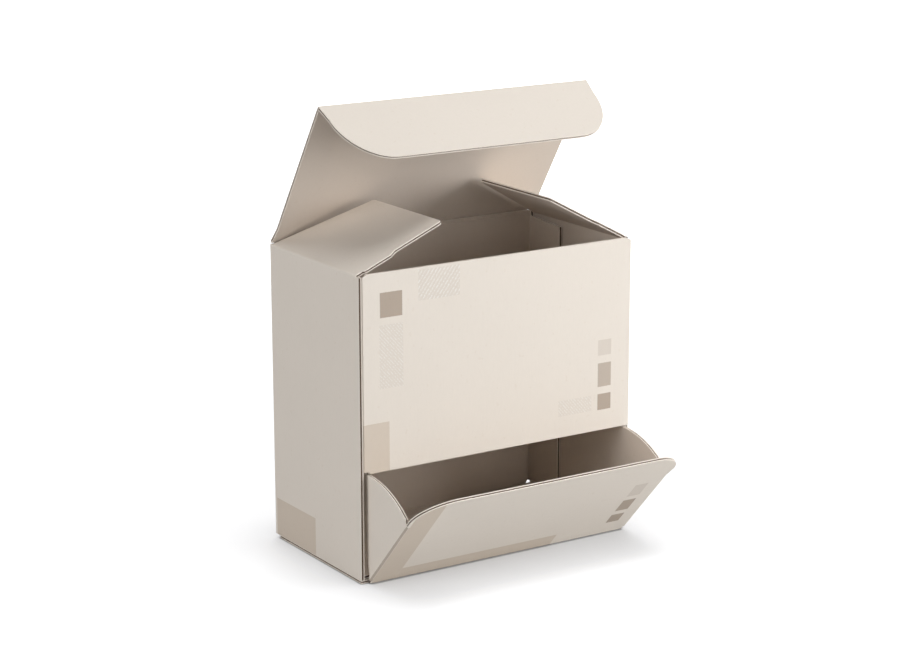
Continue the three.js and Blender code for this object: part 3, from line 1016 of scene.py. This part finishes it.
def board_looks(scene):
    """Every material of the board, made once."""
    looks = scene.carton_looks
    outer = tuple(looks.outer)
    foot = Layout(scene).back_corner
    wall_fields = [("tan", foot - WALL_FIELD_TOP, foot + FIELD_OVERRUN, -FIELD_OVERRUN, WALL_FIELD_WIDTH)]
    # Each look's colour, printed fields, roughness and strength of relief
    kinds = {
        "outer": (outer, (), 0.7, 0.35),
        "front_print": (outer, FRONT_FIELDS, 0.7, 0.35),
        "left_wall_print": (outer, wall_fields, 0.7, 0.35),
        "hopper_print": (outer, HOPPER_FIELDS, 0.7, 0.35),
        # Inner faces: the paper darkened as painted shade of the interior
        "inner": (tuple(looks.inner), (), 0.8, 0.5),
        "cut": (tuple(looks.cut), (), 0.85, 0.6),
        # Cut-edge fluting: its brown paper darkened as painted shade of the hollow flutes
        "core": (tuple(looks.core), (), 0.95, 0.8),
    }
    if "carton_outer" not in bpy.data.materials:
        groups = {"paper": paper_group(), "field": field_group(), "hatch": hatch_group()}
        inks = {"light": tuple(looks.light_ink), "tan": tuple(looks.tan_ink), "ink": tuple(looks.ink)}
        for name, (base, fields, roughness, bump) in kinds.items():
            board_material("carton_" + name, groups, base, inks, fields, roughness, bump)
    return {name: bpy.data.materials["carton_" + name] for name in kinds}


# Geometry Nodes: raised score beads that follow the creases

# Facets round a score bead
BEAD_SIDES = 12


def score_tree():
    """Tree that sweeps a small round bead along every edge of a line mesh, and its inputs' identifiers."""
    tree = bpy.data.node_groups.new("Score beads", "GeometryNodeTree")
    kinds = {
        "Lines": "NodeSocketGeometry",
        "Bead radius": FLOAT,
        "Bead sides": "NodeSocketInt",
        "Paper": "NodeSocketMaterial",
    }
    identifiers = {}
    for name, kind in kinds.items():
        socket = tree.interface.new_socket(name=name, in_out="INPUT", socket_type=kind)
        identifiers[name] = socket.identifier
    tree.interface.new_socket(name="Beads", in_out="OUTPUT", socket_type="NodeSocketGeometry")
    n = Nodes(tree)
    given = n.add("NodeGroupInput").outputs
    circle = n.add("GeometryNodeCurvePrimitiveCircle", {
        "Resolution": given["Bead sides"],
        "Radius": given["Bead radius"],
    })
    curve = n.add("GeometryNodeMeshToCurve", {0: given["Lines"]})
    sweep = n.add("GeometryNodeCurveToMesh", {"Curve": curve, "Profile Curve": circle, "Fill Caps": True})
    smooth = n.add("GeometryNodeSetShadeSmooth", {0: sweep})
    real = n.add("GeometryNodeRealizeInstances", {0: smooth})
    finish = n.add("GeometryNodeSetMaterial", {"Geometry": real, "Material": given["Paper"]})
    n.add("NodeGroupOutput", {0: finish})
    return tree, identifiers


def score_beads(name, body, lines, radius, scene, tree, sockets):
    """Beads along lines given in millimetres, as one plain mesh on one body."""
    middle = Vector((scene.carton.width / 2, scene.carton.depth / 2, 0))
    ends = [(end - middle) * MM for line in lines for end in line]
    mesh = bpy.data.meshes.new(name + "_lines")
    mesh.from_pydata(ends, [(i, i + 1) for i in range(0, len(ends), 2)], [])
    source = add_object(name + "_lines", mesh)
    modifier = source.modifiers.new("Score beads", "NODES")
    modifier.node_group = tree
    inputs = {"Bead radius": radius * MM, "Bead sides": BEAD_SIDES, "Paper": board_looks(scene)["inner"]}
    for socket_name, value in inputs.items():
        modifier[sockets[socket_name]] = value
    evaluated = source.evaluated_get(bpy.context.evaluated_depsgraph_get())
    plain = bpy.data.meshes.new_from_object(evaluated)
    source.modifiers.remove(modifier)
    bpy.data.objects.remove(source)
    piece = add_object(name, plain)
    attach(piece, body)


# How deep a bead sits in the board and how far it ends before its crease does
BEAD_SINK = 0.12
BEAD_END = 1.5


def fold_corner(s):
    """Distance along each wall from where the two would meet to the middle of the fold's inner arc."""
    return s.fold_radius * (1 - math.sqrt(0.5))


def wall_scores(s, at):
    """Inner creases of the four upright folds and the line below the lid's crease."""
    inner_left = s.board - BEAD_SINK
    inner_right = s.width - s.board + BEAD_SINK
    seam_left = 2 * s.board + s.gap - BEAD_SINK
    seam_right = s.width - seam_left
    inner_front = s.board - BEAD_SINK
    inner_back = s.depth - inner_front
    low = at.floor_fold + BEAD_END
    high = at.seam_top - BEAD_END
    corner = fold_corner(s)
    upright = [
        (inner_left + corner, inner_back - corner, low),
        (seam_right - corner, inner_back - corner, low),
        (seam_left + corner, inner_front + corner, s.opening + BEAD_END),
        (inner_right - corner, inner_front + corner, s.opening + BEAD_END),
    ]
    lines = [(Vector(foot), Vector((foot[0], foot[1], high))) for foot in upright]
    level = at.back_top - s.board
    ends = (inner_left + BEAD_END, seam_right - BEAD_END)
    lines.append(tuple(Vector((x, inner_back, level)) for x in ends))
    return lines


def turned(matrix, pairs):
    """Lines from pairs of points in a turned piece's own frame."""
    return [(matrix @ Vector(a), matrix @ Vector(b)) for a, b in pairs]


def hopper_scores(s, hopper, at):
    """Inner creases between the hopper's front and its gussets."""
    corner = fold_corner(s)
    inner = at.half - BEAD_SINK + corner
    sides = (at.hopper_left + s.board - BEAD_SINK + corner, at.hopper_right - s.board + BEAD_SINK - corner)
    pairs = [((x, inner, hopper.foot + BEAD_END), (x, inner, hopper.crease - BEAD_END)) for x in sides]
    return turned(at.hopper_turn, pairs)


def lid_scores(s, lid, at):
    """Lines on the lid's inner face beside its two creases."""
    ends = (lid.inset + BEAD_END, s.width - lid.inset - BEAD_END)
    inner = -at.half + BEAD_SINK
    places = (-s.board, s.board - lid.length)
    return turned(at.lid_turn, [((ends[0], y, inner), (ends[1], y, inner)) for y in places])


def build_piece(name, body, panels, scene, replaced, outer_liner=None):
    """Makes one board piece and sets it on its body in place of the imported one."""
    flat, matrix = panels
    board = Board(scene.carton, outer_liner or scene.carton.liner)
    board.add_panel(flat, matrix, False)
    piece = board.mesh_object(name, board_looks(scene))
    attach(piece, body)
    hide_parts(replaced)


class CartonBuilder:
    """What the operators share: the scene, the carton's settings and its layout."""

    def execute(self, context):
        scene = context.scene
        self.build(scene, scene.carton, Layout(scene))
        return {"FINISHED"}


class CARTON_OT_shells(CartonBuilder, bpy.types.Operator):
    """Fold the rear and front shells"""

    bl_idname = "carton.shells"
    bl_label = "Wall shells"

    def build(self, scene, s, at):
        build_piece("rear_walls", "carton", rear_shell_panels(s, at), scene, "rear_shell", s.thin_liner)
        build_piece("front_walls", "carton", front_shell_panels(s, at), scene, "front_shell")


class CARTON_OT_base(CartonBuilder, bpy.types.Operator):
    """Fold the base panel and its tuck"""

    bl_idname = "carton.base"
    bl_label = "Base panel"

    def build(self, scene, s, at):
        build_piece("base_board", "carton", base_panels(s, at), scene, "base_panel")


class CARTON_OT_hopper(CartonBuilder, bpy.types.Operator):
    """Fold the tilt-out hopper"""

    bl_idname = "carton.hopper"
    bl_label = "Hopper"

    def build(self, scene, s, at):
        build_piece("hopper_board", "hopper", hopper_panels(s, scene.carton_hopper, at), scene, "hopper")


class CARTON_OT_lid(CartonBuilder, bpy.types.Operator):
    """Make the lid and its tuck"""

    bl_idname = "carton.lid"
    bl_label = "Lid and tuck"

    def build(self, scene, s, at):
        lid = scene.carton_lid
        build_piece("lid_board", "lid", lid_panels(s, lid, at), scene, "lid")
        build_piece("tuck_board", "lid_tuck", tuck_panels(s, lid, at), scene, "lid_tuck")


class CARTON_OT_dust_flaps(CartonBuilder, bpy.types.Operator):
    """Make both dust flaps"""

    bl_idname = "carton.dust_flaps"
    bl_label = "Dust flaps"

    def build(self, scene, s, at):
        for name, side in (("left", 1), ("right", -1)):
            panels = dust_flap_panels(s, scene.carton_lid, at, side)
            build_piece(name + "_flap_board", name + "_dust_flap", panels, scene, name + "_dust_flap")


class CARTON_OT_scores(CartonBuilder, bpy.types.Operator):
    """Raise the score beads beside the creases"""

    bl_idname = "carton.scores"
    bl_label = "Score beads"

    def build(self, scene, s, at):
        tree, sockets = score_tree()
        groups = [
            ("wall_scores", "carton", wall_scores(s, at)),
            ("hopper_scores", "hopper", hopper_scores(s, scene.carton_hopper, at)),
            ("lid_scores", "lid", lid_scores(s, scene.carton_lid, at)),
        ]
        for name, body, lines in groups:
            score_beads(name, body, lines, s.bead_radius, scene, tree, sockets)


class CARTON_OT_stage(CartonBuilder, bpy.types.Operator):
    """Set the floor, the light and the camera"""

    bl_idname = "carton.stage"
    bl_label = "Floor, light and camera"

    def build(self, scene, s, at):
        make_camera(scene, scene.carton_stage)
        make_floor()
        make_lights(scene, scene.carton_stage)
        scene.view_settings.view_transform = "Standard"


def aimed(place, target):
    """Matrix at a place with -Z towards a target and Y as near up as it can be."""
    back = (place - target).normalized()
    right = Vector((0, 0, 1)).cross(back).normalized()
    up = back.cross(right)
    rotation = Matrix((right, up, back)).transposed().to_4x4()
    return Matrix.Translation(place) @ rotation


def make_camera(scene, settings):
    """Camera that looks at the aim from the settings' side."""
    data = bpy.data.cameras.new("camera")
    data.sensor_width = 36.0
    data.lens = settings.lens
    data.clip_start = 0.01
    camera = add_object("camera", data)
    back = direction(settings.azimuth, settings.elevation)
    aim = Vector(settings.aim)
    roll = Matrix.Rotation(math.radians(settings.roll), 4, "Z")
    camera.matrix_world = aimed(aim + back * settings.distance, aim) @ roll
    scene.camera = camera


# The floor's size and how far it lies below the carton, in metres
FLOOR_SIZE = 6.0
FLOOR_DROP = 0.0001
FLOOR_ROUGHNESS = 0.9
# The floor's tone for bounced light, and its tone and glow as the camera sees it
FLOOR_TONE = (0.52, 0.52, 0.52)
FLOOR_SEEN_TONE = (0.415, 0.42, 0.435)
FLOOR_GLOW = 0.7
# Painted contact shadow: less glow under and beside the carton, up to this far from it
CONTACT_SHADOW_GLOW = 0.2
CONTACT_SHADOW_REACH = 0.03
# Painted shadow line, thin and dark, where the carton stands: its width, tone, light and range of openness
SHADOW_LINE_REACH = 0.0016
SHADOW_LINE_TONE = (0.13, 0.13, 0.135)
SHADOW_LINE_GLOW = 0.3
SHADOW_LINE_OPENNESS = (0.4, 0.85)
# More glow far away, and the distances where it starts and is full
FAR_GLOW = 0.5
FAR_RANGE = (0.12, 0.9)
SHELTER_SAMPLES = 8


def seen_directly(n):
    """1 for rays from the camera and for mirrored or transmitted ones, else 0."""
    rays = n.add("ShaderNodeLightPath")
    seen = n.math("MAXIMUM", rays.outputs["Is Camera Ray"], rays.outputs["Is Glossy Ray"])
    return n.math("MAXIMUM", seen, rays.outputs["Is Transmission Ray"])


def make_floor():
    """Pale floor. It is seen darker near the carton, as a painted contact shadow, and white far away, and
    bounces one even tone.
    """
    mesh = bpy.data.meshes.new("floor")
    half = FLOOR_SIZE / 2
    corners = [(-half, -half), (half, -half), (half, half), (-half, half)]
    mesh.from_pydata([(x, y, -FLOOR_DROP) for x, y in corners], [], [(0, 1, 2, 3)])
    floor = add_object("floor", mesh)
    material, shader, n = new_material("floor_pale")
    shader.inputs["Roughness"].default_value = FLOOR_ROUGHNESS
    shader.inputs["Base Color"].default_value = (*FLOOR_TONE, 1)
    # Painted shade: a short shelter measure gives the thin shadow line where the carton stands, a longer one
    # the wider contact shadow
    seam, near = (
        n.add("ShaderNodeAmbientOcclusion", {"Distance": reach}, samples=SHELTER_SAMPLES).outputs["AO"]
        for reach in (SHADOW_LINE_REACH, CONTACT_SHADOW_REACH)
    )
    touching = n.spread(seam, *SHADOW_LINE_OPENNESS, SHADOW_LINE_GLOW, 1.0)
    contact = n.times(n.spread(near, 0.0, 1.0, CONTACT_SHADOW_GLOW, FLOOR_GLOW), touching)
    place = n.add("ShaderNodeTexCoord").outputs["Object"]
    away = n.add("ShaderNodeVectorMath", {0: place}, operation="LENGTH").outputs["Value"]
    glow = n.plus(contact, n.spread(away, *FAR_RANGE, 0.0, FAR_GLOW))
    # Where the carton stands the seen colour turns to the shadow line's dark tone, painted shade
    shown = n.add("ShaderNodeBsdfPrincipled", {
        "Base Color": n.mix(touching, (*SHADOW_LINE_TONE, 1), (*FLOOR_SEEN_TONE, 1)),
        "Roughness": FLOOR_ROUGHNESS,
        "Emission Color": (1, 1, 1, 1),
        "Emission Strength": glow,
    })
    chosen = n.add("ShaderNodeMixShader", {0: seen_directly(n), 1: shader, 2: shown})
    n.put(material.node_tree.nodes["Material Output"].inputs["Surface"], chosen)
    mesh.materials.append(material)


# Where the lights aim, in metres
LIGHT_TARGET = Vector((0, 0, 0.07))
# Each light's azimuth and elevation in degrees, distance and size in metres, and tint
LIGHTS = {
    "key": (45, 14, 1.3, 0.8, (1.0, 1.0, 1.0)),
    "front": (0, 8, 2.0, 1.2, (1.0, 1.0, 1.0)),
    "side": (-85, 15, 2.0, 1.2, (1.0, 0.99, 0.985)),
    "back": (155, 20, 2.0, 1.2, (1.0, 1.0, 1.0)),
    "top": (0, 85, 2.0, 1.2, (1.0, 0.99, 0.98)),
}


def direction(azimuth, elevation):
    """Unit vector from the carton towards a place, with azimuth 0 in front of it."""
    turn = math.radians(azimuth)
    rise = math.radians(elevation)
    return Vector((math.sin(turn) * math.cos(rise), -math.cos(turn) * math.cos(rise), math.sin(rise)))


def make_lights(scene, settings):
    """Large soft lights, and a white world that only the camera and mirrors see."""
    for name, (azimuth, elevation, distance, size, tint) in LIGHTS.items():
        data = bpy.data.lights.new(name, "AREA")
        data.shape = "DISK"
        data.size = size
        data.energy = getattr(settings, name)
        data.color = tint
        light = add_object(name, data)
        light.matrix_world = aimed(LIGHT_TARGET + direction(azimuth, elevation) * distance, LIGHT_TARGET)
    world = bpy.data.worlds.new("studio")
    world.use_nodes = True
    scene.world = world
    n = Nodes(world.node_tree)
    background = world.node_tree.nodes["Background"]
    background.inputs["Color"].default_value = (1.0, 1.0, 1.0, 1)
    n.put(background.inputs["Strength"], seen_directly(n))


class CARTON_PT_panel(bpy.types.Panel):
    """Lists the carton's pieces"""

    bl_idname = "CARTON_PT_panel"
    bl_label = "Carton"
    bl_space_type = "VIEW_3D"
    bl_region_type = "UI"
    bl_category = "Carton"

    def draw(self, context):
        for operator in OPERATORS:
            self.layout.operator(operator.bl_idname)


SETTINGS = {
    "carton": CartonSettings,
    "carton_hopper": HopperSettings,
    "carton_lid": LidSettings,
    "carton_looks": BoardLooks,
    "carton_stage": StageSettings,
}
OPERATORS = [
    CARTON_OT_stage,
    CARTON_OT_shells,
    CARTON_OT_base,
    CARTON_OT_hopper,
    CARTON_OT_lid,
    CARTON_OT_dust_flaps,
    CARTON_OT_scores,
]


def register():
    for cls in [*SETTINGS.values(), *OPERATORS, CARTON_PT_panel]:
        bpy.utils.register_class(cls)
    for name, settings in SETTINGS.items():
        setattr(bpy.types.Scene, name, PointerProperty(type=settings))


def unregister():
    for name in SETTINGS:
        delattr(bpy.types.Scene, name)
    for cls in reversed([*SETTINGS.values(), *OPERATORS, CARTON_PT_panel]):
        bpy.utils.unregister_class(cls)


def main():
    register()
    bpy.ops.carton.stage()
    bpy.ops.carton.shells()
    bpy.ops.carton.base()
    bpy.ops.carton.hopper()
    bpy.ops.carton.lid()
    bpy.ops.carton.dust_flaps()
    bpy.ops.carton.scores()


if __name__ == "__main__":
    main()
